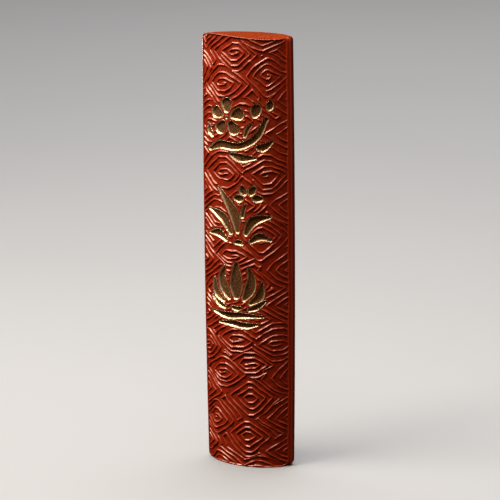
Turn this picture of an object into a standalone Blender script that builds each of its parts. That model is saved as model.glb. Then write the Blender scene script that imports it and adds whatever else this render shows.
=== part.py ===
"""Moulded cinnabar ink stick, standing on its end.

The stick is one pressed body: two domed faces, two narrow flat sides and a slight barrel
along its length. Each face holds a carved field, sunk below a smooth border that runs down
both edges and round the foot. Three ornaments are engraved down the front: a plum blossom
spray, an orchid and a lotus. Every engraved stroke holds its own layer of gold.

Metres, +Z up. The origin is the centre of the foot, +Z runs up the stick and the front
faces -Y. Face coordinates are u, the distance across the face along its arc, and z. A stroke
is a few points (u, z, width) in millimetres, measured from the centre of its ornament.
"""

import math

import bmesh
import bpy
import numpy as np
from mathutils import Vector

MM = 0.001

# Body
LENGTH = 100 * MM
WIDTH = 20.6 * MM  # between the flat sides, at either end
EDGE = 1.8 * MM  # thickness of the flat sides
CROWN = 3.8 * MM  # rise of each domed face above the flat sides
BARREL = 0.031  # how much larger the section is at mid-length
ROUNDING = 0.4 * MM  # on the rims and the long corners
FACE_STEPS = 20  # flats across one domed face
LENGTH_STEPS = 16  # flats along the stick

# Carved field
BORDER = 0.8 * MM  # smooth band down each edge of a face
FOOT_BORDER = 0.6 * MM  # smooth band along the foot
FIELD_DEPTH = 0.35 * MM
CORNER = 1.6 * MM  # radius of the field's two lower corners
CORNER_STEPS = 4

# Engraved strokes and their gold
STROKE_DEPTH = 1.1 * MM
GOLD_THICKNESS = 0.25 * MM
GOLD_GAP = 0.05 * MM  # between the gold and the pocket round it
STROKE_STEP = 0.75 * MM  # between two samples along a stroke
ROUTE_STEPS = 24  # steps from one point of a stroke to the next, before it is sampled
END_ANGLES = (25, 58)  # samples round a stroke's rounded end, in degrees
CLEAR = 1 * MM  # how far a cutter stands proud of what it cuts

# Ornament centres, across and up the front face
BLOSSOM = (-1.2 * MM, 79.8 * MM)
ORCHID = (-1.4 * MM, 60.2 * MM)
LOTUS = (-1.8 * MM, 42.0 * MM)

FRONT, BACK = -1, 1

RADIUS = (WIDTH * WIDTH / 4 + CROWN * CROWN) / (2 * CROWN)
HALF_ARC = RADIUS * math.asin(WIDTH / 2 / RADIUS)
AXIS_OFFSET = RADIUS - CROWN - EDGE / 2  # from the mid-plane back to a dome's own centre


def swell(z):
    """Size of the section at height z, as a multiple of its size at the ends."""
    return 1 + BARREL * (1 - (2 * z / LENGTH - 1) ** 2)


def face_point(u, z, depth=0.0, side=FRONT):
    """The point at (u, z) on a domed face, depth below its surface."""
    angle = u / RADIUS
    reach = RADIUS - depth
    across = reach * math.sin(angle) * swell(z)
    out = (reach * math.cos(angle) - AXIS_OFFSET) * swell(z)
    return Vector((across, side * out, z))


def finish(name, colour, metallic, roughness):
    """A plain Principled material."""
    material = bpy.data.materials.new(name)
    material.use_nodes = True
    shader = material.node_tree.nodes["Principled BSDF"]
    shader.inputs["Base Color"].default_value = (*colour, 1)
    shader.inputs["Metallic"].default_value = metallic
    shader.inputs["Roughness"].default_value = roughness
    material.diffuse_color = (*colour, 1)
    return material


def add_object(name, mesh, material, parent=None):
    """A smooth-shaded object holding mesh, under parent if there is one."""
    mesh.materials.append(material)
    mesh.shade_smooth()
    mesh.set_sharp_from_angle(angle=math.radians(30))
    made = bpy.data.objects.new(name, mesh)
    made.parent = parent
    bpy.context.collection.objects.link(made)
    return made


def loft(name, rings, origin=Vector((0, 0, 0))):
    """A closed mesh through equal rings of points, capped at both ends."""
    shape = bmesh.new()
    rows = [[shape.verts.new(point - origin) for point in ring] for ring in rings]
    for row, following in zip(rows, rows[1:]):
        for i in range(len(row)):
            shape.faces.new((row[i - 1], row[i], following[i], following[i - 1]))
    shape.faces.new(rows[0])
    shape.faces.new(reversed(rows[-1]))
    bmesh.ops.recalc_face_normals(shape, faces=shape.faces)
    mesh = bpy.data.meshes.new(name)
    shape.to_mesh(mesh)
    shape.free()
    return mesh


def section(z):
    """The body's outline at height z."""
    across = np.linspace(-HALF_ARC, HALF_ARC, FACE_STEPS + 1)
    front = [face_point(u, z, side=FRONT) for u in across]
    back = [face_point(u, z, side=BACK) for u in reversed(across)]
    return front + back


def make_body(material):
    """The pressed stick, before its faces are carved."""
    rings = [section(z) for z in np.linspace(0, LENGTH, LENGTH_STEPS + 1)]
    body = add_object("ink_body", loft("ink_body", rings), material)
    bevel = body.modifiers.new("rounded_edges", "BEVEL")
    bevel.width = ROUNDING
    bevel.segments = 2
    bevel.limit_method = "ANGLE"
    bevel.angle_limit = math.radians(30)
    return body


def field_columns():
    """(u, lowest z) of the field's columns, with its lower corners rounded."""
    half_width = HALF_ARC - BORDER
    turns = [math.radians(90 * i / CORNER_STEPS) for i in range(CORNER_STEPS + 1)]
    corner = [
        (
            half_width - CORNER + CORNER * math.cos(turn),
            FOOT_BORDER + CORNER - CORNER * math.sin(turn),
        )
        for turn in turns
    ]
    middle = np.linspace(CORNER - half_width, half_width - CORNER, FACE_STEPS + 1)
    left = [(-u, z) for u, z in corner]
    right = list(reversed(corner))
    return left + [(u, FOOT_BORDER) for u in middle[1:-1]] + right


def field_cutter(name, side, material):
    """What is carved away from one face: a sheet that follows the dome, open at the top."""
    rings = []
    for u, lowest in field_columns():
        heights = np.linspace(lowest, LENGTH + CLEAR, LENGTH_STEPS + 1)
        floor = [face_point(u, z, FIELD_DEPTH, side) for z in heights]
        outside = [face_point(u, z, -CLEAR, side) for z in reversed(heights)]
        rings.append(floor + outside)
    return add_object(name, loft(name, rings), material)


def smooth_route(points):
    """Many rows of (u, z, width) on a Catmull-Rom curve through the given ones."""
    points = np.array(points, float)
    before = 2 * points[0] - points[1]
    after = 2 * points[-1] - points[-2]
    padded = np.vstack([before, points, after])
    t = np.linspace(0, 1, ROUTE_STEPS, endpoint=False)[:, None]
    runs = []
    for a, b, c, d in zip(padded, padded[1:], padded[2:], padded[3:]):
        bend = 2 * a - 5 * b + 4 * c - d
        twist = 3 * b - a - 3 * c + d
        runs.append(b + 0.5 * ((c - a) * t + bend * t**2 + twist * t**3))
    return np.vstack([*runs, points[-1:]])


def stroke_samples(points, inset):
    """Centres, sideways directions and half-widths along a stroke, all shrunk by inset."""
    route = smooth_route(points)
    steps = np.linalg.norm(np.diff(route[:, :2], axis=0), axis=1)
    travelled = np.concatenate([[0], np.cumsum(steps)])

    def rows_at(distance):
        return np.column_stack([np.interp(distance, travelled, column) for column in route.T])

    first = route[0, 2] / 2 - inset
    last = route[-1, 2] / 2 - inset
    angles = np.radians(END_ANGLES)
    low = inset + first
    high = travelled[-1] - inset - last
    inner = np.linspace(low, high, 2 + int((high - low) / STROKE_STEP))
    distance = np.concatenate([low - first * np.cos(angles), inner, high + last * np.cos(angles[::-1])])
    rounding = np.concatenate([np.sin(angles), np.ones(len(inner)), np.sin(angles[::-1])])
    rows = rows_at(distance)
    heading = rows_at(distance + STROKE_STEP / 4) - rows_at(distance - STROKE_STEP / 4)
    sideways = np.column_stack([-heading[:, 1], heading[:, 0]])
    sideways /= np.linalg.norm(sideways, axis=1)[:, None]
    return rows[:, :2], sideways, (rows[:, 2] / 2 - inset) * rounding


def stroke_mesh(name, points, inset, top, bottom, origin=Vector((0, 0, 0))):
    """A stroke as a block that follows the front dome between two depths."""
    rings = []
    for centre, sideways, half in zip(*stroke_samples(points, inset)):
        left = centre + half * sideways
        right = centre - half * sideways
        rings.append([
            face_point(*left, top),
            face_point(*right, top),
            face_point(*right, bottom),
            face_point(*left, bottom),
        ])
    return loft(name, rings, origin)


def turned(points, angle, centre):
    """A stroke turned by angle degrees and moved to centre."""
    cos = math.cos(math.radians(angle))
    sin = math.sin(math.radians(angle))
    return [(centre[0] + cos * u - sin * z, centre[1] + sin * u + cos * z, width)
            for u, z, width in points]


def mirrored(points):
    """A stroke with left and right exchanged."""
    return [(-u, z, width) for u, z, width in points]


def blossom_strokes():
    """A plum blossom of five petals over a branch with buds and leaves."""
    flower = (-2.6, 2.2)
    petal = [(0.95, 0, 0.9), (2.2, 0, 2.2), (3.4, 0, 2.9), (4.5, 0, 2.2)]
    strokes = {f"petal_{i + 1}": turned(petal, 90 + 72 * i, flower) for i in range(5)}
    strokes["stamen"] = turned([(-0.45, 0, 0.8), (0.45, 0, 0.8)], 20, flower)
    strokes["branch"] = [
        (-8.2, -5.6, 0.9), (-4.6, -4.1, 1.9), (0.4, -4.1, 1.7), (4.5, -1.8, 1.6), (6.9, 2.6, 1.0),
    ]
    strokes["twig"] = [(1.7, -2.1, 0.8), (2.4, -0.2, 1.0), (3.5, 1.1, 0.8)]
    strokes["bud_large"] = [(3.9, 2.4, 1.0), (4.4, 4.0, 2.5), (4.7, 5.6, 1.5)]
    strokes["bud_small"] = [(7.2, 4.0, 0.8), (7.6, 5.1, 1.7), (7.6, 6.3, 0.9)]
    strokes["leaf_left"] = [(-6.5, -2.6, 0.7), (-7.8, -1.4, 1.6), (-8.3, 0.5, 0.5)]
    strokes["leaf_low"] = [(-1.9, -5.9, 0.7), (0.8, -6.7, 2.0), (4.5, -6.6, 0.5)]
    strokes["leaf_right"] = [(4.1, -4.1, 0.7), (6.0, -4.2, 1.9), (8.3, -2.7, 0.5)]
    return strokes


def orchid_strokes():
    """An orchid: arching leaves from one root, and a flower on a stem."""
    strokes = {
        "leaf_1": [(-2.4, -6.4, 0.9), (-5.0, -4.9, 1.9), (-8.2, -5.3, 0.5)],
        "leaf_2": [(-1.3, -4.9, 1.0), (-3.7, -1.2, 2.2), (-8.2, 0.5, 0.5)],
        "leaf_3": [(0.2, -4.5, 1.0), (-0.9, 0.4, 2.3), (-5.0, 6.0, 0.5)],
        "leaf_4": [(1.7, -4.9, 1.0), (3.8, -1.4, 2.2), (8.1, -0.3, 0.5)],
        "leaf_5": [(2.8, -6.4, 0.9), (5.2, -5.0, 1.8), (8.0, -5.9, 0.5)],
        "leaf_6": [(-0.9, -6.6, 0.7), (0.3, -6.5, 1.3), (1.6, -6.9, 0.6)],
        "stem": [(1.3, -0.9, 0.9), (1.4, 0.8, 1.0), (2.0, 2.3, 0.8)],
    }
    petal = [(0.9, 0, 0.8), (2.1, 0.1, 1.8), (3.5, 0, 0.8)]
    for i in range(4):
        strokes[f"petal_{i + 1}"] = turned(petal, 2 + 58 * i, (2.6, 3.6))
    return strokes


def lotus_strokes():
    """An open lotus over two ripples of water."""
    sides = {
        "inner": [(1.6, -2.0, 0.9), (3.1, 0.6, 2.4), (3.7, 3.2, 1.9), (3.0, 5.9, 0.5)],
        "outer": [(2.9, -2.7, 0.9), (5.4, -0.8, 2.1), (6.2, 2.8, 0.5)],
        "low": [(2.7, -4.1, 0.8), (4.8, -3.2, 1.5), (7.1, -1.6, 0.5)],
    }
    strokes = {"petal_middle": [(0, -1.8, 1.1), (0, 1.2, 3.0), (0, 4.2, 2.4), (0, 7.2, 0.6)]}
    for name, petal in sides.items():
        strokes[f"petal_{name}_right"] = petal
        strokes[f"petal_{name}_left"] = mirrored(petal)
    strokes["calyx"] = [(-1.4, -3.5, 0.8), (0, -3.9, 1.3), (1.4, -3.5, 0.8)]
    strokes["ripple_high"] = [(-6.9, -5.3, 0.6), (-2.6, -5.8, 1.6), (1.6, -5.4, 1.4), (6.6, -5.5, 0.5)]
    strokes["ripple_low"] = [(-4.8, -7.7, 0.5), (-1.2, -7.5, 1.4), (2.2, -7.8, 1.5), (5.4, -7.3, 0.5)]
    return strokes


def engrave(ornament, centre, strokes, gold, cutting):
    """Adds an ornament's gold under one empty, and returns the cutters of its pockets."""
    anchor = bpy.data.objects.new(ornament, None)
    anchor.location = face_point(*centre, STROKE_DEPTH)
    bpy.context.collection.objects.link(anchor)
    gold_top = STROKE_DEPTH - GOLD_THICKNESS
    cutters = []
    for name, points in strokes.items():
        placed = [(centre[0] + u * MM, centre[1] + z * MM, width * MM) for u, z, width in points]
        node = f"{ornament}_{name}_gold"
        layer = stroke_mesh(node, placed, GOLD_GAP, gold_top, STROKE_DEPTH - GOLD_GAP, anchor.location)
        add_object(node, layer, gold, anchor)
        pocket = f"{ornament}_{name}_pocket"
        block = stroke_mesh(pocket, placed, 0, -CLEAR, STROKE_DEPTH)
        cutters.append(add_object(pocket, block, cutting))
    return cutters


def cut(body, cutters):
    """Takes each cutter out of the body, and hides it."""
    for cutter in cutters:
        boolean = body.modifiers.new(cutter.name, "BOOLEAN")
        boolean.operation = "DIFFERENCE"
        boolean.solver = "EXACT"
        boolean.object = cutter
        cutter.hide_render = True
        cutter.display_type = "WIRE"


def main():
    for existing in list(bpy.data.objects):
        bpy.data.objects.remove(existing)

    vermilion = finish("vermilion_ink", (0.50, 0.065, 0.016), 0.0, 0.45)
    gold = finish("gold_paint", (0.62, 0.42, 0.16), 0.85, 0.42)
    cutting = finish("cutting_guide", (0.3, 0.3, 0.3), 0.0, 0.8)

    body = make_body(vermilion)
    cutters = [
        field_cutter("front_field", FRONT, cutting),
        field_cutter("back_field", BACK, cutting),
    ]
    cutters += engrave("blossom", BLOSSOM, blossom_strokes(), gold, cutting)
    cutters += engrave("orchid", ORCHID, orchid_strokes(), gold, cutting)
    cutters += engrave("lotus", LOTUS, lotus_strokes(), gold, cutting)
    cut(body, cutters)


main()
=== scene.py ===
"""Looks of the moulded cinnabar ink stick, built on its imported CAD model.

One closed mesh stands for the pressed body. It keeps the CAD's section, barrel and strokes,
rounds its rims and corners in fine steps, twists its upper end slightly, and adds what is too
fine for the CAD: the raised lines that ring round many small eyes on both faces. One thin shell
lines each engraved stroke with gold.

Shapes are worked out in millimetres and turned into metres when a mesh is made. On a face, u
runs across along its arc, z runs up, and depth is measured inward from the CAD's outer surface.
"""

import math

import bpy
import numpy as np
from mathutils import Matrix, Vector
from mathutils.geometry import delaunay_2d_cdt


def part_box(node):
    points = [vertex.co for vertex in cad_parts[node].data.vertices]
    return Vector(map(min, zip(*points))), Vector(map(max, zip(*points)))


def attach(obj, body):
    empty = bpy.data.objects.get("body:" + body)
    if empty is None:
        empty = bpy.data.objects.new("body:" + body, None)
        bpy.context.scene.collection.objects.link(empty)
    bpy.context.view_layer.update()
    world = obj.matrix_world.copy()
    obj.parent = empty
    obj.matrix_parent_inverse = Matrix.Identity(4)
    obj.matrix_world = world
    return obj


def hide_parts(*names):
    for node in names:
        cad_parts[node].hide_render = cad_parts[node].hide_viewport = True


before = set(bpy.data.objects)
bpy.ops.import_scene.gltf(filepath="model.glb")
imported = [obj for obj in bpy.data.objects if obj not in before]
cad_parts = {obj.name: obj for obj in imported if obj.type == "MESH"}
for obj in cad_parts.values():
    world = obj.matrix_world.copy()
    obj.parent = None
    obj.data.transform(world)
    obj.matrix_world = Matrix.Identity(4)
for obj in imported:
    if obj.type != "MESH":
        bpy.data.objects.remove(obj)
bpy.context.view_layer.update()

MM = 0.001
BODY_LOW, BODY_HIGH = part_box("ink_body")

# Section and length, as in the CAD
LENGTH = (BODY_HIGH.z - BODY_LOW.z) / MM
BARREL = 0.031  # how much larger the section is at mid-length
WIDTH = (BODY_HIGH.x - BODY_LOW.x) / MM / (1 + BARREL)
EDGE = 1.8  # thickness of the flat sides
CROWN = 3.8  # rise of each domed face above the flat sides
RADIUS = (WIDTH**2 / 4 + CROWN**2) / (2 * CROWN)
HALF_ARC = RADIUS * math.asin(WIDTH / 2 / RADIUS)
AXIS_OFFSET = RADIUS - CROWN - EDGE / 2  # from the mid-plane back to a dome's own centre

# Rounding and twist
ARRIS = 0.55  # rounding of the four long corners
RIM = 0.2  # rounding of the rims at both ends
FOOT_ROUNDING = 1.3  # of the outline's two lower corners
TOP_ROUNDING = 0.9  # of its two upper corners
OUTER_PART = (0.75, 1.0)  # share of the half-width over which the corners' rounding sets in
TOP_TWIST = 0.02  # fall of the upper end's front half, for each mm to the right and mm forward
TWIST_REACH = 8  # the twist dies out this far below the upper end

# Mesh steps
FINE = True
FRONT_STEP = 0.09 if FINE else 0.2
BACK_STEP = 0.14 if FINE else 0.2
UP_STEP = 0.07 if FINE else 0.15
SIDE_STEPS = 7
ARRIS_STEPS = 6
RIM_STEPS = 5
CAP_STEP = 0.3
GOLD_STEP = 0.10 if FINE else 0.17

# Sunk field with its raised lines
BORDER = 0.85  # smooth band down the right edge of a face
LEFT_BORDER = 0.05  # and almost nothing along its other edges
FOOT_BORDER = 0.15
TOP_BORDER = 0.12
CORNER = 1.6  # rounding of the field's lower corners
BORDER_DEPTH = 0.18
FIELD_DEPTH = 0.42
FLOOR_WAVES = 0.012
FIELD_EDGE = 0.3  # width of the step down from the border
LINE_HEIGHT = 0.33
LINE_HALF_WIDTH = 0.23
LINE_SLOPES = (0.35, 1.0)  # least and most change of ring level to the millimetre
LINE_STRENGTHS = (0.25, 1.05)  # least and most height, as a share of the full height
SPIRAL_FADE = (1.4, 2.6)  # the rings' steps outward fade out between these rings
WORN = (2.0, 9.5)  # the lines lose height between these distances to the right of the middle
WORN_SHARE = 0.45
CREASE_SHADE = (1.05, 0.4)  # middle and width of the painted shade in the crease beside a line, in half-widths of the line
SKIN_GRAIN = 0.003
CAP_GRAIN = 0.012

# Tone, stored with the mesh for its colour: -1 in a crease, where shade is painted, 0 on the field, and 1 on
# a line, where a highlight is painted
BORDER_TONE = 0.05
CAP_TONE = 1.5

# Engraved strokes and their gold
GOLD_GAP = 0.05  # from the CAD's gold to the edge of its pocket
PAINT_OVERLAP = 0.04  # how far the gold laps over the edge of a stroke
PAINT_RAGGED = 0.03  # how far its edge strays from that
PAINT_RISE = 0.01  # how far it stands above the field at its edge
PAINT_THICKNESS = 0.12
PAINT_WAVES = 0.018
PAINT_GRAIN = 0.014
STROKE_FLOOR = 0.84
WALL = 0.24  # width of a stroke's sloping wall
POCKET_CLEAR = 0.08  # between the gold's upper surface and the body under it
CALM = (0.15, 0.65)  # the raised lines fade out between these distances from a stroke
LIP = 0.05  # rise of the field round a stroke
LIP_REACH = (0.15, 0.5)

# Eyes that the lines ring round: u, z, half-length of the flat middle, spacing of the rings to the
# left, right, up and down, first ring, and the share of a turn at which the inner rings step
# outward (0 for closed rings)
EYES = [
    (-9.9, 101.4, 0.0, 0.90, 1.20, 1.20, 1.17, 1.00, 0.00),
    (5.1, 101.1, 0.0, 2.90, 2.50, 1.25, 1.25, 1.00, 0.00),
    (11.5, 97.3, 0.0, 3.40, 1.00, 2.60, 2.20, -2.00, 0.00),
    (-1.6, 96.4, 0.7, 1.60, 1.45, 1.20, 1.30, 0.95, 0.57),
    (5.8, 91.6, 0.2, 1.45, 2.20, 1.30, 1.55, 1.00, 0.75),
    (-12.3, 92.6, 0.0, 1.00, 1.35, 1.10, 1.60, 1.00, 0.00),
    (-4.9, 89.6, 0.9, 1.35, 1.90, 1.30, 1.40, 1.05, 0.55),
    (12.0, 86.2, 0.0, 2.05, 1.00, 1.50, 1.40, 1.00, 0.00),
    (0.4, 81.5, 0.5, 1.80, 1.80, 1.35, 1.35, 1.00, 0.30),
    (-8.5, 80.0, 0.6, 1.80, 1.80, 1.35, 1.35, 1.00, 0.62),
    (12.6, 78.6, 0.0, 2.50, 1.00, 1.30, 1.50, 1.00, 0.00),
    (-4.7, 69.4, 0.9, 1.75, 1.75, 1.33, 1.33, 0.60, 0.88),
    (5.6, 69.3, 0.9, 1.70, 1.90, 1.28, 1.50, 0.75, 0.60),
    (12.3, 62.2, 0.0, 2.00, 1.00, 1.50, 1.30, 1.00, 0.00),
    (-6.3, 59.2, 0.8, 1.90, 1.90, 1.30, 1.30, 0.80, 0.37),
    (0.2, 62.5, 0.5, 1.70, 1.70, 1.30, 1.30, 0.80, 0.88),
    (4.0, 55.3, 0.5, 1.60, 1.75, 1.40, 1.60, 1.30, 0.90),
    (-2.8, 50.5, 1.2, 1.60, 1.90, 1.25, 1.10, 0.30, 0.50),
    (-12.0, 49.0, 0.2, 1.80, 1.80, 1.30, 1.30, 1.00, 0.00),
    (12.0, 47.4, 0.0, 2.20, 1.00, 1.70, 1.40, 1.00, 0.00),
    (-5.0, 41.6, 0.6, 1.70, 1.80, 1.30, 1.10, 0.75, 0.30),
    (1.1, 44.0, 0.4, 1.20, 1.20, 1.10, 1.10, 0.60, 0.62),
    (12.0, 39.2, 0.0, 2.20, 1.00, 1.30, 1.30, 1.00, 0.00),
    (-10.8, 36.2, 0.2, 1.80, 1.80, 1.30, 1.30, 1.00, 0.88),
    (-1.6, 30.8, 1.3, 1.65, 1.90, 1.25, 1.35, 0.10, 0.50),
    (7.8, 29.9, 1.2, 1.90, 1.90, 1.25, 1.25, 1.00, 0.50),
    (-10.6, 28.2, 0.6, 1.40, 1.30, 1.20, 1.20, 1.00, 0.40),
    (1.4, 25.1, 1.2, 1.50, 1.90, 1.20, 1.05, 0.15, 0.87),
    (-5.6, 22.4, 0.8, 1.50, 1.80, 1.25, 1.25, 0.85, 0.60),
    (12.1, 21.5, 0.0, 2.00, 1.00, 1.90, 1.20, 1.00, 0.00),
    (1.4, 17.1, 0.4, 1.65, 1.75, 1.27, 1.60, 0.75, 0.00),
    (-11.8, 17.6, 0.2, 1.80, 1.80, 1.30, 1.30, 1.00, 0.00),
    (-8.0, 10.9, 0.4, 1.40, 1.60, 1.35, 1.40, 0.90, 0.30),
    (11.2, 12.1, 0.0, 2.00, 1.00, 1.35, 1.25, 1.00, 0.00),
    (0.7, 7.5, 0.5, 1.45, 1.75, 1.32, 1.33, 0.75, 0.00),
    (11.7, 3.9, 0.0, 2.20, 1.00, 1.35, 1.20, 1.00, 0.00),
    (-11.0, 4.6, 0.2, 1.50, 1.50, 1.20, 1.20, 1.00, 0.00),
    (-7.2, 0.2, 0.6, 1.30, 2.10, 1.20, 1.20, 1.00, 0.00),
    (3.4, -2.3, 0.6, 2.00, 2.20, 1.30, 1.30, 1.00, 0.00),
]
EYE_ROUNDING = 1.13  # 1 would make each ring a diamond, 2 an ellipse

# View, in degrees and millimetres
CAMERA_AZIMUTH = 19.29  # degrees round from the front, towards +X
CAMERA_ELEVATION = 15.23
CAMERA_ROLL = -0.53
CAMERA_DISTANCE = 401.1
CAMERA_TARGET = (0.11, 50.93)  # across and up, where the camera's axis passes the stick
CAMERA_LENS = 127.3


def smoothstep(value, start, end):
    """0 before start, 1 after end, and a smooth rise between them."""
    share = np.clip((value - start) / (end - start), 0, 1)
    return share * share * (3 - 2 * share)


def swell(z):
    """Size of the section at height z, as a multiple of its size at the ends."""
    return 1 + BARREL * (1 - (2 * z / LENGTH - 1) ** 2)


def wander(u, z, wavelength, seed, terms=7):
    """A smooth random value, mostly within 1 of zero, that repeats for the same seed."""
    random = np.random.RandomState(seed)
    total = np.zeros(np.broadcast(u, z).shape)
    for _ in range(terms):
        heading = random.uniform(0, 2 * math.pi)
        phase = random.uniform(0, 2 * math.pi)
        rate = 2 * math.pi / (wavelength * random.uniform(0.7, 1.5))
        total += np.sin(rate * (math.cos(heading) * u + math.sin(heading) * z) + phase)
    return total / math.sqrt(terms / 2)


# Raised lines

def ring_levels(u, z):
    """Which ring each point lies on, counted from the nearest eye: whole numbers are on a line."""
    nearest = np.full(u.shape, np.inf)
    for eye_u, eye_z, dash, left, right, up, down, first, step in EYES:
        across = np.maximum(abs(u - eye_u) - dash, 0) / np.where(u < eye_u, left, right)
        along = abs(z - eye_z) / np.where(z < eye_z, down, up)
        rings = (across**EYE_ROUNDING + along**EYE_ROUNDING) ** (1 / EYE_ROUNDING)
        turn = np.arctan2((z - eye_z) / up, 0.8 * (u - eye_u) / right) / (2 * math.pi)
        spiral = ((turn - step) % 1 - 0.5) * (1 - smoothstep(rings, *SPIRAL_FADE))
        nearest = np.minimum(nearest, rings + 1 - first + (spiral if step else 0))
    return nearest


def softened(grid):
    """A grid's values blended with their neighbours, which rounds the places where lines meet."""
    for axis in (0, 1):
        grid = grid / 2 + (np.roll(grid, 1, axis) + np.roll(grid, -1, axis)) / 4
    return grid


def line_heights(u, z):
    """Height of the raised lines on a grid, columns u by rows z, and the strength of the painted shade at
    their feet, 0 to 1.
    """
    grid_u, grid_z = np.meshgrid(u, z)
    bent_u = grid_u + 0.13 * wander(grid_u, grid_z, 6.5, 1) + 0.02 * wander(grid_u, grid_z, 2.2, 3)
    bent_z = grid_z + 0.11 * wander(grid_u, grid_z, 6.0, 2) + 0.018 * wander(grid_u, grid_z, 2.0, 4)
    levels = ring_levels(bent_u, bent_z)
    slope_z, slope_u = np.gradient(levels, z, u)
    slope = np.clip(np.hypot(slope_u, slope_z), *LINE_SLOPES)
    off_line = abs(levels - np.round(levels))
    off_line = np.where(levels < 0.5, np.minimum(abs(levels), 1), off_line)
    half_width = LINE_HALF_WIDTH * (1 + 0.12 * wander(grid_u, grid_z, 3.0, 9))
    across = off_line / slope / half_width
    profile = (0.5 + 0.5 * np.cos(math.pi * np.minimum(across, 1))) ** 0.8
    strength = np.clip(0.88 + 0.2 * wander(grid_u, grid_z, 3.2, 5), *LINE_STRENGTHS)
    strength *= 1 - WORN_SHARE * smoothstep(grid_u, *WORN)
    # painted shade: a dark band in the crease on either side of each line
    crease_shade = np.exp(-(((across - CREASE_SHADE[0]) / CREASE_SHADE[1]) ** 2))
    return LINE_HEIGHT * softened(profile) * strength, strength * crease_shade


def field_share(u, z):
    """1 on the sunk field and 0 on the border, which is widest down the right edge."""
    border = np.where(u > 0, BORDER, LEFT_BORDER) + 0.04 * wander(u, z, 5.0, 21)
    beside = abs(u) - (HALF_ARC - border - CORNER)
    below = FOOT_BORDER + CORNER - z
    rounded = np.hypot(np.maximum(beside, 0), np.maximum(below, 0))
    outside = rounded + np.minimum(np.maximum(beside, below), 0) - CORNER
    return smoothstep(-np.maximum(outside, z - LENGTH + TOP_BORDER), 0, FIELD_EDGE)


# Engraved strokes

def smooth_loop(points, step):
    """A closed Catmull-Rom curve through points, sampled about every step."""
    before = np.roll(points, 1, axis=0)
    after = np.roll(points, -1, axis=0)
    beyond = np.roll(points, -2, axis=0)
    runs = []
    for a, b, c, d in zip(before, points, after, beyond):
        count = max(1, round(np.linalg.norm(c - b) / step))
        t = np.arange(count)[:, None] / count
        bend = 2 * a - 5 * b + 4 * c - d
        twist = 3 * b - a - 3 * c + d
        runs.append(b + 0.5 * ((c - a) * t + bend * t**2 + twist * t**3))
    return np.vstack(runs)


def chained(edges):
    """The vertices of a closed loop of directed edges, in order."""
    following = dict(edges)
    start = edges[0][0]
    loop = [start]
    while following[loop[-1]] != start:
        loop.append(following[loop[-1]])
    return loop


def stroke_outline(node):
    """The (u, z) outline of a CAD gold layer's upper face, as a smooth loop running anticlockwise."""
    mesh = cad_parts[node].data
    mesh.calc_loop_triangles()
    corners = np.array([vertex.co for vertex in mesh.vertices]) / MM
    corners, merged = np.unique(np.round(corners, 3), axis=0, return_inverse=True)
    faces = merged.reshape(-1)[np.array([triangle.vertices for triangle in mesh.loop_triangles])]
    scale = swell(corners[:, 2])
    across = corners[:, 0] / scale
    out = -corners[:, 1] / scale + AXIS_OFFSET
    depth = RADIUS - np.hypot(across, out)
    flat = np.column_stack([RADIUS * np.arctan2(across, out), corners[:, 2]])
    upper = depth < (depth.min() + depth.max()) / 2
    faces = faces[upper[faces].all(axis=1)]
    edges = {(face[i - 1], face[i]) for face in faces.tolist() for i in range(3)}
    border = [edge for edge in edges if edge[::-1] not in edges]
    loop = flat[chained(sorted(border))]
    area = np.sum(loop[:, 0] * np.roll(loop[:, 1], -1) - loop[:, 1] * np.roll(loop[:, 0], -1))
    return smooth_loop(loop if area > 0 else loop[::-1], GOLD_STEP)


def distance_outside(points, loop):
    """Distance of each point from a closed loop, negative inside it."""
    along = np.roll(loop, -1, axis=0) - loop
    offset = points[:, None] - loop
    share = np.clip((offset * along).sum(axis=2) / (along**2).sum(axis=1), 0, 1)
    gap = np.linalg.norm(offset - share[..., None] * along, axis=2).min(axis=1)
    spans = (offset[..., 1] >= 0) != (offset[..., 1] >= along[:, 1])
    rise = np.where(along[:, 1] == 0, 1, along[:, 1])
    crossed = spans & (offset[..., 0] < offset[..., 1] / rise * along[:, 0])
    return np.where(crossed.sum(axis=1) % 2 == 1, -gap, gap)


def stroke_distances(u, z, outlines):
    """Distance from each point of a grid to the edge of the nearest stroke, negative inside one."""
    reach = CALM[1] + GOLD_GAP
    nearest = np.full((len(z), len(u)), reach)
    for outline in outlines:
        low = outline.min(axis=0) - reach
        high = outline.max(axis=0) + reach
        columns = np.flatnonzero((u > low[0]) & (u < high[0]))
        rows = np.flatnonzero((z > low[1]) & (z < high[1]))
        grid_u, grid_z = np.meshgrid(u[columns], z[rows])
        points = np.column_stack([grid_u.ravel(), grid_z.ravel()])
        found = distance_outside(points, outline).reshape(grid_u.shape) - GOLD_GAP
        block = np.ix_(rows, columns)
        nearest[block] = np.minimum(nearest[block], found)
    return nearest


def edge_depth(distance):
    """Depth of the calm field beside a stroke, with a slight lip round the stroke."""
    return FIELD_DEPTH - LIP * (1 - smoothstep(distance, *LIP_REACH))


def gold_depth(distance):
    """Depth of the painted surface across a stroke."""
    edge = edge_depth(distance) - PAINT_RISE
    return edge + (STROKE_FLOOR - edge) * smoothstep(-distance, -PAINT_OVERLAP, WALL - PAINT_OVERLAP)


# Body

def arc(centre_x, centre_y, radius, start, end, steps):
    """Points and outward normals along an arc of the section; angle 0 faces the front, 90 faces +X."""
    angles = np.linspace(start, end, steps + 1)
    normals = np.column_stack([np.sin(angles), -np.cos(angles)])
    return np.array([centre_x, centre_y]) + radius * normals, normals


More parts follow.
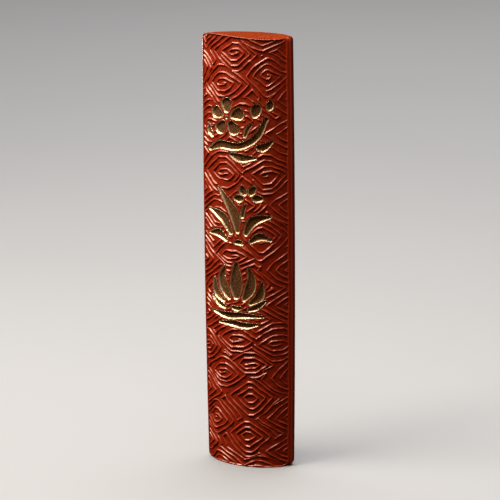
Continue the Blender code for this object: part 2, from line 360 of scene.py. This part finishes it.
def section_loop():
    """The section's points and normals, anticlockwise from the front's left end, and both faces' columns."""
    corner_x = WIDTH / 2 - ARRIS
    corner_y = math.sqrt((RADIUS - ARRIS) ** 2 - corner_x**2) - AXIS_OFFSET
    tilt = math.atan2(corner_x, corner_y + AXIS_OFFSET)
    quarter = math.pi / 2
    points, normals, faces = [], [], []
    for turn, step in ((0, FRONT_STEP), (math.pi, BACK_STEP)):
        steps = round(2 * RADIUS * tilt / step)
        face_u = np.linspace(-RADIUS * tilt, RADIUS * tilt, steps + 1)[:-1]
        faces.append((face_u, sum(map(len, points)) + np.arange(steps)))
        face = arc(0, AXIS_OFFSET, RADIUS, -tilt, tilt, steps)
        first = arc(corner_x, -corner_y, ARRIS, tilt, quarter, ARRIS_STEPS)
        side = np.linspace(-corner_y, corner_y, SIDE_STEPS + 1)
        flat = np.column_stack([np.full(len(side), WIDTH / 2), side]), np.tile([1.0, 0.0], (len(side), 1))
        second = arc(corner_x, corner_y, ARRIS, quarter, math.pi - tilt, ARRIS_STEPS)
        facing = np.array([[math.cos(turn), math.sin(turn)], [-math.sin(turn), math.cos(turn)]])
        for run_points, run_normals in (face, first, flat, second):
            points.append(run_points[:-1] @ facing)
            normals.append(run_normals[:-1] @ facing)
    return np.vstack(points), np.vstack(normals), faces


def row_heights():
    """Heights of the body's rows, closer together round the rims."""
    rim = RIM * (1 - np.cos(np.linspace(0, math.pi / 2, RIM_STEPS + 1)))
    middle = np.linspace(RIM, LENGTH - RIM, round(LENGTH / UP_STEP))
    return np.concatenate([rim[:-1], middle, LENGTH - rim[-2::-1]])


def rim_inset(z):
    """How far the rounded rims draw the surface in at height z."""
    into = np.clip(RIM - np.minimum(z, LENGTH - z), 0, RIM)
    return RIM - np.sqrt(RIM**2 - into**2)


def corner_pull(z):
    """How far the sides are drawn in at height z by the outline's rounded corners."""
    pull = 0
    for gap, radius in ((z, FOOT_ROUNDING), (LENGTH - z, TOP_ROUNDING)):
        into = np.clip(radius - gap, 0, radius)
        pull = pull + radius - np.sqrt(radius**2 - into**2)
    return pull


def top_twist(x, y, z):
    """Rise of the upper end's twist: its front edge is higher on the left, and its back half is level."""
    return -TOP_TWIST * x * np.maximum(-y, 0) * smoothstep(z, LENGTH - TWIST_REACH, LENGTH)


def face_relief(u, z, strokes, flip):
    """Depth and tone of a face on a grid; flip turns the lines upside down."""
    grid_u, grid_z = np.meshgrid(u, z)
    if flip:
        lines, crease_shade = (part[::-1] for part in line_heights(u, LENGTH - z[::-1]))
    else:
        lines, crease_shade = line_heights(u, z)
    lines = lines * smoothstep(strokes, *CALM)
    crease_shade = crease_shade * smoothstep(strokes, *CALM)
    share = field_share(grid_u, grid_z)
    floor = np.minimum(FIELD_DEPTH, edge_depth(strokes)) + FLOOR_WAVES * wander(grid_u, grid_z, 1.7, 31)
    depth = BORDER_DEPTH + share * (floor - lines - BORDER_DEPTH)
    # the tone carries the painted highlight on the lines and the painted shade in the crease beside them
    tone = share * (lines / LINE_HEIGHT - crease_shade) + BORDER_TONE * (1 - share)
    pocket = gold_depth(strokes - POCKET_CLEAR) + POCKET_CLEAR
    inside = smoothstep(-strokes, -PAINT_OVERLAP - POCKET_CLEAR, -PAINT_OVERLAP + 0.01)
    return depth + inside * (np.maximum(pocket, depth) - depth), tone


def fill_loop(loop, step, seed):
    """Points and triangles that fill a flat closed loop; the loop's own points come first."""
    random = np.random.RandomState(seed)
    low, high = loop.min(axis=0), loop.max(axis=0)
    grid_x, grid_y = np.meshgrid(np.arange(low[0], high[0], step), np.arange(low[1], high[1], step))
    inner = np.column_stack([grid_x.ravel(), grid_y.ravel()])
    inner += random.uniform(-0.3, 0.3, inner.shape) * step
    inner = np.vstack([part[distance_outside(part, loop) < -0.6 * step]
                       for part in np.array_split(inner, 1 + len(inner) // 2000)])
    corners = [Vector(point) for point in np.vstack([loop, inner])]
    found = delaunay_2d_cdt(corners, [], [list(range(len(loop)))], 1, 1e-6)
    return np.array(found[0]), np.array(found[2])


def band(lower, upper):
    """Triangles between two closed rows of vertex numbers, facing outward when they run anticlockwise."""
    lower_next, upper_next = np.roll(lower, -1), np.roll(upper, -1)
    return np.vstack([
        np.column_stack([lower, lower_next, upper_next]),
        np.column_stack([lower, upper_next, upper]),
    ])


def add_piece(name, points, triangles, material, slot, node, **values):
    """A smooth mesh from points in millimetres that stands for a CAD node, with a value for each point."""
    mesh = bpy.data.meshes.new(name)
    mesh.vertices.add(len(points))
    mesh.vertices.foreach_set("co", (points * MM).astype(np.float32).ravel())
    mesh.loops.add(3 * len(triangles))
    mesh.loops.foreach_set("vertex_index", triangles.astype(np.int32).ravel())
    mesh.polygons.add(len(triangles))
    mesh.polygons.foreach_set("loop_start", np.arange(0, 3 * len(triangles), 3, dtype=np.int32))
    mesh.update(calc_edges=True)
    mesh.validate()
    mesh.shade_smooth()
    for label, value in values.items():
        layer = mesh.attributes.new(label, "FLOAT", "POINT")
        layer.data.foreach_set("value", value.astype(np.float32).ravel())
    mesh.materials.append(material)
    made = bpy.data.objects.new(name, mesh)
    bpy.context.scene.collection.objects.link(made)
    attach(made, "root")
    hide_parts(node)
    return made


def body_surface(z, outlines):
    """The body's points in rows at heights z, anticlockwise from the front's left end, and their tones."""
    points, normals, ((front_u, front), (back_u, back)) = section_loop()
    depth = np.zeros((len(z), len(points)))
    tone = np.full(depth.shape, BORDER_TONE)
    depth += BORDER_DEPTH * (1 - smoothstep(abs(normals[:, 0]), normals[front, 0].max(), 1))
    strokes = stroke_distances(front_u, z, outlines)
    no_strokes = stroke_distances(back_u, z, [])
    depth[:, front], tone[:, front] = face_relief(front_u, z, strokes, flip=False)
    depth[:, back], tone[:, back] = face_relief(back_u, z, no_strokes, flip=True)
    tone[z > LENGTH - RIM] = CAP_TONE
    random = np.random.RandomState(41)
    depth += rim_inset(z)[:, None] + abs(random.normal(0, SKIN_GRAIN, depth.shape))
    flat = (points - normals * depth[..., None]) * swell(z)[:, None, None]
    outer = smoothstep(abs(points[:, 0]) * 2 / WIDTH, *OUTER_PART)
    flat[..., 0] -= np.sign(points[:, 0]) * outer * corner_pull(z)[:, None]
    return np.dstack([flat, np.broadcast_to(z[:, None], depth.shape)]), tone


def end_cap(rim, inward):
    """Points that fill an end inside its rim, and triangles that number the rim's points first."""
    filled, faces = fill_loop(rim[:, :2], CAP_STEP, 43)
    inner = filled[len(rim):]
    grain = CAP_GRAIN * abs(wander(inner[:, 0], inner[:, 1], 1.1, 47))
    return np.column_stack([inner, rim[0, 2] + inward * grain]), faces


def add_body(outlines, material):
    """The pressed body as one closed mesh: rows up the stick, and a filled cap at each end."""
    surface, tone = body_surface(row_heights(), outlines)
    numbers = np.arange(tone.size).reshape(tone.shape)
    triangles = [band(lower, upper) for lower, upper in zip(numbers, numbers[1:])]
    corners = [surface.reshape(-1, 3)]
    for row, inward in ((-1, -1), (0, 1)):
        inner, faces = end_cap(surface[row], inward)
        lookup = np.concatenate([numbers[row], sum(map(len, corners)) + np.arange(len(inner))])
        facing_up = lookup[faces]
        triangles.append(facing_up if inward < 0 else facing_up[:, ::-1])
        corners.append(inner)
    corners = np.vstack(corners)
    corners[:, 2] += top_twist(*corners.T)
    tone = np.concatenate([tone.ravel(), np.full(len(corners) - tone.size, CAP_TONE)])
    return add_piece("pressed_body", corners, np.vstack(triangles), material, "vermilion_ink", "ink_body",
                     tone=tone)


def on_front(flat, depth):
    """Points in millimetres at (u, z) on the front face, depth below it."""
    scale = swell(flat[:, 1])
    angle = flat[:, 0] / RADIUS
    reach = RADIUS - depth
    return np.column_stack([
        reach * np.sin(angle) * scale,
        -(reach * np.cos(angle) - AXIS_OFFSET) * scale,
        flat[:, 1],
    ])


def add_gold(node, outline, seed, material):
    """The gold painted into one engraved stroke: a thin closed shell over its floor, walls and edge."""
    heading = np.roll(outline, -1, axis=0) - np.roll(outline, 1, axis=0)
    outward = np.column_stack([heading[:, 1], -heading[:, 0]])
    outward /= np.linalg.norm(outward, axis=1)[:, None]
    ragged = PAINT_RAGGED * wander(outline[:, 0], outline[:, 1], 0.8, seed)
    edge = outline + outward * (GOLD_GAP + PAINT_OVERLAP + ragged)[:, None]
    flat, faces = fill_loop(edge, GOLD_STEP, seed)
    distance = distance_outside(flat, outline) - GOLD_GAP
    random = np.random.RandomState(seed)
    waves = PAINT_WAVES * wander(flat[:, 0], flat[:, 1], 0.45, seed)
    grain = waves + random.normal(0, PAINT_GRAIN, len(flat))
    upper = gold_depth(distance) + grain * smoothstep(-distance, -PAINT_OVERLAP, 0.15)
    corners = np.vstack([on_front(flat, upper), on_front(flat, upper + PAINT_THICKNESS)])
    ring = np.arange(len(edge))
    triangles = np.vstack([faces, faces[:, ::-1] + len(flat), band(ring + len(flat), ring)])
    # 0 at a stroke's edge, where the wall highlight is painted, and 1 on its floor
    sunk = smoothstep(-distance, 0, WALL)
    return add_piece(f"{node}_paint", corners, triangles, material, "gold_paint", node,
                     sunk=np.concatenate([sunk, sunk]))


# Materials

def new_material(name, roughness, metallic=0.0):
    """A Principled material, its node tree and its shader."""
    material = bpy.data.materials.new(name)
    material.use_nodes = True
    shader = material.node_tree.nodes["Principled BSDF"]
    shader.inputs["Roughness"].default_value = roughness
    shader.inputs["Metallic"].default_value = metallic
    return material, material.node_tree, shader


def noise(tree, scale, detail=3.0, roughness=0.55):
    """Noise in the object's own coordinates, with scale features to the metre."""
    coordinates = tree.nodes.new("ShaderNodeTexCoord")
    texture = tree.nodes.new("ShaderNodeTexNoise")
    texture.inputs["Scale"].default_value = scale
    texture.inputs["Detail"].default_value = detail
    texture.inputs["Roughness"].default_value = roughness
    tree.links.new(coordinates.outputs["Object"], texture.inputs["Vector"])
    return texture.outputs["Fac"]


def stored(tree, label):
    """A value stored with the mesh."""
    attribute = tree.nodes.new("ShaderNodeAttribute")
    attribute.attribute_name = label
    return attribute.outputs["Fac"]


def spread(tree, value, low, high, to_low, to_high):
    """value, from between low and high to between to_low and to_high."""
    node = tree.nodes.new("ShaderNodeMapRange")
    for label, number in (("From Min", low), ("From Max", high), ("To Min", to_low), ("To Max", to_high)):
        node.inputs[label].default_value = number
    tree.links.new(value, node.inputs["Value"])
    return node.outputs["Result"]


def combine(tree, operation, first, second):
    """One value from two, by a named operation."""
    node = tree.nodes.new("ShaderNodeMath")
    node.operation = operation
    tree.links.new(first, node.inputs[0])
    tree.links.new(second, node.inputs[1])
    return node.outputs["Value"]


def blend(tree, share, first, second):
    """A mix of two colours, each an output or a plain colour."""
    node = tree.nodes.new("ShaderNodeMix")
    node.data_type = "RGBA"
    tree.links.new(share, node.inputs["Factor"])
    for socket, colour in ((node.inputs[6], first), (node.inputs[7], second)):
        if isinstance(colour, tuple):
            socket.default_value = (*colour, 1)
        else:
            tree.links.new(colour, socket)
    return node.outputs[2]


def raise_bumps(tree, shader, *layers):
    """Bumps on a shader's normal from (height, distance in metres) layers."""
    normal = None
    for height, distance in layers:
        node = tree.nodes.new("ShaderNodeBump")
        node.inputs["Distance"].default_value = distance
        tree.links.new(height, node.inputs["Height"])
        if normal:
            tree.links.new(normal, node.inputs["Normal"])
        normal = node.outputs["Normal"]
    tree.links.new(normal, shader.inputs["Normal"])


def vermilion_ink():
    """Pressed cinnabar with a waxy gloss: deep red on the field, a painted highlight that makes the raised
    lines lighter and more orange, and painted shade beside them.
    """
    material, tree, shader = new_material("vermilion_ink", 0.4)
    shader.inputs["Specular IOR Level"].default_value = 0.8
    shader.inputs["Specular Tint"].default_value = (1.0, 0.80, 0.64, 1)
    tone = stored(tree, "tone")
    # where the painted shade of the crease beside each line goes
    crease_shade = spread(tree, tone, -0.9, 0.0, 0.8, 0)
    # painted highlight: the raised lines lighter and more orange than the deep red field
    colour = blend(tree, spread(tree, tone, 0.0, 0.9, 0, 1), (0.255, 0.0135, 0.0014), (0.46, 0.056, 0.009))
    cap = spread(tree, tone, 1.0, 1.5, 0, 1)
    grains = spread(tree, noise(tree, 1900, 3.0), 0.4, 0.6, 0, 1)
    colour = blend(tree, cap, colour, blend(tree, grains, (0.14, 0.011, 0.0008), (0.34, 0.046, 0.004)))
    clouds = spread(tree, noise(tree, 160), 0.35, 0.7, 0, 0.5)
    colour = blend(tree, clouds, colour, (0.30, 0.021, 0.0025))
    # painted shade: darker, deeper red in the crease beside each line
    colour = blend(tree, crease_shade, colour, (0.15, 0.0018, 0.0002))
    specks = spread(tree, noise(tree, 3600, 2.0), 0.56, 0.72, 0, 0.4)
    colour = blend(tree, specks, colour, (0.14, 0.007, 0.002))
    tree.links.new(colour, shader.inputs["Base Color"])
    sheen = spread(tree, noise(tree, 420), 0.3, 0.7, 0.3, 0.44)
    tree.links.new(sheen, shader.inputs["Roughness"])
    pitted = combine(tree, "MULTIPLY", cap, noise(tree, 2400, 3.0))
    waves = noise(tree, 900, 4.0)
    skin = noise(tree, 5200, 2.0)
    raise_bumps(tree, shader, (waves, 0.00004), (skin, 0.000012), (pitted, 0.0002))
    return material


def gold_paint():
    """Powdered gold in glue: brown in a stroke's floor, and lighter on the walls and edges, where a highlight
    is painted.
    """
    material, tree, shader = new_material("gold_paint", 0.35, 0.75)
    grains = spread(tree, noise(tree, 4200, 2.0, 0.7), 0.38, 0.66, 0, 1)
    floor = blend(tree, grains, (0.13, 0.048, 0.015), (0.54, 0.28, 0.105))
    # painted highlight: the walls and edges lighter and paler than the floor
    walls = blend(tree, grains, (0.80, 0.54, 0.27), (0.98, 0.84, 0.58))
    colour = blend(tree, spread(tree, stored(tree, "sunk"), 0.3, 1.0, 0, 1), walls, floor)
    tree.links.new(colour, shader.inputs["Base Color"])
    sheen = spread(tree, noise(tree, 2600), 0.3, 0.7, 0.24, 0.46)
    tree.links.new(sheen, shader.inputs["Roughness"])
    raise_bumps(tree, shader, (noise(tree, 3800, 3.0, 0.7), 0.00004))
    return material


def pale_floor():
    """Matt pale paper."""
    material, tree, shader = new_material("pale_floor", 0.75)
    shade = blend(tree, noise(tree, 9), (0.192, 0.190, 0.186), (0.204, 0.202, 0.199))
    tree.links.new(shade, shader.inputs["Base Color"])
    return material


# Stage

def add_floor(material):
    """A wide flat floor under the foot, left out of the stick's gloss and of the light on it."""
    half = 4.0
    corners = [(-half, -half, 0), (half, -half, 0), (half, half, 0), (-half, half, 0)]
    mesh = bpy.data.meshes.new("floor")
    mesh.from_pydata(corners, [], [(0, 1, 2, 3)])
    mesh.materials.append(material)
    floor = bpy.data.objects.new("floor", mesh)
    bpy.context.scene.collection.objects.link(floor)
    floor.visible_glossy = False
    floor.visible_diffuse = False
    return floor


def add_light(name, place, aim, size, beam, power, colour):
    """A soft light, wide by high, at place and aimed at a point, in metres, with its beam in degrees."""
    light = bpy.data.lights.new(name, "AREA")
    light.shape = "RECTANGLE"
    light.size, light.size_y = size
    light.spread = math.radians(beam)
    light.energy = power
    light.color = colour
    made = bpy.data.objects.new(name, light)
    made.location = place
    made.rotation_euler = (Vector(aim) - Vector(place)).to_track_quat("-Z", "Y").to_euler()
    bpy.context.scene.collection.objects.link(made)
    return made


def light_only(light, lit):
    """Keep a light to the objects that it is meant for."""
    receivers = bpy.data.collections.new(f"lit_by_{light.name}")
    for thing in lit:
        receivers.objects.link(thing)
    light.light_linking.receiver_collection = receivers


def add_camera():
    """The camera, aimed by its angles round the stick."""
    lift, roll = math.radians(CAMERA_ELEVATION), math.radians(CAMERA_ROLL)
    forward = Vector((0, math.cos(lift), -math.sin(lift)))
    level_right = Vector((1, 0, 0))
    level_up = level_right.cross(forward)
    right = math.cos(roll) * level_right + math.sin(roll) * level_up
    up = math.cos(roll) * level_up - math.sin(roll) * level_right
    across, height = CAMERA_TARGET
    place = Vector((across, 0, height)) - forward * CAMERA_DISTANCE
    pose = Matrix((right, up, -forward)).transposed().to_4x4()
    pose.translation = place * MM
    camera = bpy.data.cameras.new("camera")
    camera.lens = CAMERA_LENS
    camera.sensor_width = 36
    camera.clip_start = 0.01
    made = bpy.data.objects.new("camera", camera)
    bpy.context.scene.collection.objects.link(made)
    made.matrix_world = Matrix.Rotation(math.radians(CAMERA_AZIMUTH), 4, "Z") @ pose
    bpy.context.scene.camera = made


def add_surroundings(pieces, floor):
    """A dim warm sky, soft lights on the stick, an even one on the floor, and plain colours."""
    scene = bpy.context.scene
    scene.world = bpy.data.worlds.new("studio")
    scene.world.use_nodes = True
    background = scene.world.node_tree.nodes["Background"]
    background.inputs["Color"].default_value = (1.0, 0.4, 0.22, 1)
    background.inputs["Strength"].default_value = 0.04
    scene.view_settings.view_transform = "Standard"
    middle = (0, 0, LENGTH * MM / 2)
    upper = (0, 0, LENGTH * MM * 0.8)
    add_light("key", (-0.20, -0.14, 0.41), upper, (0.20, 0.12), 120, 1.25, (1.0, 0.92, 0.83))
    add_light("top", (-0.05, -0.17, 0.47), upper, (0.40, 0.10), 120, 0.80, (1.0, 0.92, 0.84))
    add_light("right", (0.43, 0.16, 0.20), middle, (0.3, 0.3), 60, 0.034, (1.0, 0.85, 0.75))
    add_light("left_back", (-0.48, 0.19, 0.35), middle, (0.2, 0.2), 60, 0.09, (1.0, 0.93, 0.86))
    back = add_light("back", (-0.42, 0.42, 0.05), middle, (0.2, 0.08), 60, 0.35, (1.0, 0.95, 0.9))
    above = add_light("above_floor", (0, 0.35, 1.2), (0, 0.35, 0), (1.4, 1.4), 180, 42.0, (0.97, 0.98, 1.0))
    light_only(back, pieces)
    light_only(above, [floor])


def main():
    """Build the pieces, then set them on the floor in front of the camera."""
    gold = gold_paint()
    gold_nodes = sorted(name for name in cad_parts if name.endswith("_gold"))
    outlines = [stroke_outline(node) for node in gold_nodes]
    pieces = [add_body(outlines, vermilion_ink())]
    for i, (node, outline) in enumerate(zip(gold_nodes, outlines)):
        pieces.append(add_gold(node, outline, 100 + i, gold))
    add_surroundings(pieces, add_floor(pale_floor()))
    add_camera()


main()
